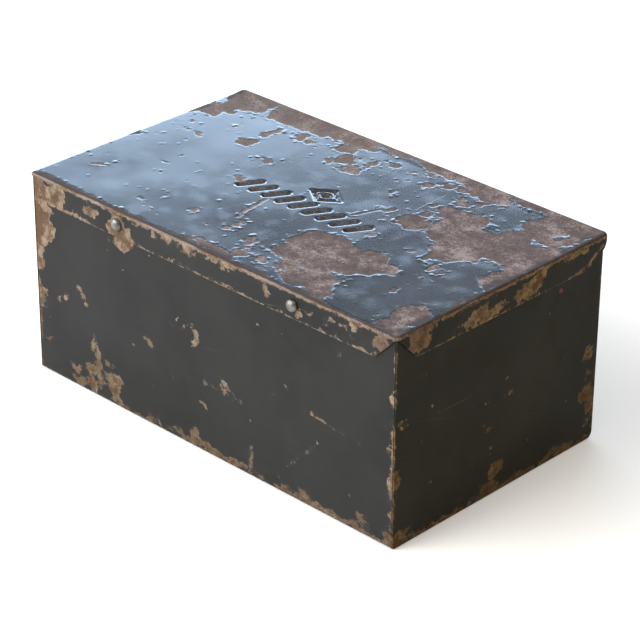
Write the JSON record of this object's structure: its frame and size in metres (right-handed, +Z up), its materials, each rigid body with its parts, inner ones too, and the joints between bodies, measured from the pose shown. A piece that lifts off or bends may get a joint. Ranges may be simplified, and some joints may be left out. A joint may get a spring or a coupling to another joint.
{
  "type": "toolbox with tray",
  "caption": "Old painted sheet-steel toolbox with a hinged flat lid whose skirt overlaps the box, and a divided lift-out tray with folding loops inside.",
  "frame": {"origin": "middle of the underside of the whole object's box", "axes": "+X along the length to the right, the front faces -Y, the hinge is at +Y, +Z up"},
  "size_m": [0.305, 0.1864, 0.1365],
  "materials": {
    "box_paint": "satin charcoal paint, chipped and rusty at the edges",
    "lid_paint": "glossy blue-black paint, flaked over matt brown rust",
    "tray_paint": "satin charcoal paint, worn",
    "hinge_steel": "dull brown oxidised steel sheet",
    "bare_steel": "worn bright steel with brown tarnish"
  },
  "bodies": {
    "box": {"body_wrap": "box_paint", "left_end_panel": "box_paint", "right_end_panel": "box_paint", "left_tray_ledge": "box_paint", "right_tray_ledge": "box_paint", "body_hinge_leaf": "hinge_steel", "hinge_pin": "bare_steel"},
    "lid": {"lid_shell": "lid_paint", "lid_hinge_leaf": "hinge_steel", "left_catch_rivet": "bare_steel", "right_catch_rivet": "bare_steel", "left_catch_spring": "bare_steel", "right_catch_spring": "bare_steel"},
    "tray": {"tray_pan": "tray_paint", "tray_long_divider": "tray_paint", "tray_bin_divider_1": "tray_paint", "tray_bin_divider_2": "tray_paint", "tray_bin_divider_3": "tray_paint", "left_loop_clip": "hinge_steel", "right_loop_clip": "hinge_steel", "left_clip_rivet_front": "bare_steel", "left_clip_rivet_back": "bare_steel", "right_clip_rivet_front": "bare_steel", "right_clip_rivet_back": "bare_steel"},
    "left_loop": {"left_tray_loop": "bare_steel"},
    "right_loop": {"right_tray_loop": "bare_steel"}
  },
  "joints": [
    {"name": "lid_hinge", "type": "hinge", "parent": "box", "child": "lid", "pos_m": [0, 0.09055, 0.1338], "axis": [-1, 0, 0], "range_deg": [0, 105]},
    {"name": "tray_lift", "type": "slide", "parent": "box", "child": "tray", "axis": [0, 0, 1], "range_m": [0, 0.0605]},
    {"name": "left_loop_hinge", "type": "hinge", "parent": "tray", "child": "left_loop", "pos_m": [-0.144, -0.02675, 0.1125], "axis": [0, -1, 0], "range_deg": [0, 165]},
    {"name": "right_loop_hinge", "type": "hinge", "parent": "tray", "child": "right_loop", "pos_m": [0.144, -0.02675, 0.1125], "axis": [0, 1, 0], "range_deg": [0, 165]}
  ],
  "couplings": [
    {"joint": "tray_lift", "follows": "lid_hinge", "m_per_rad": 0.033}
  ]
}
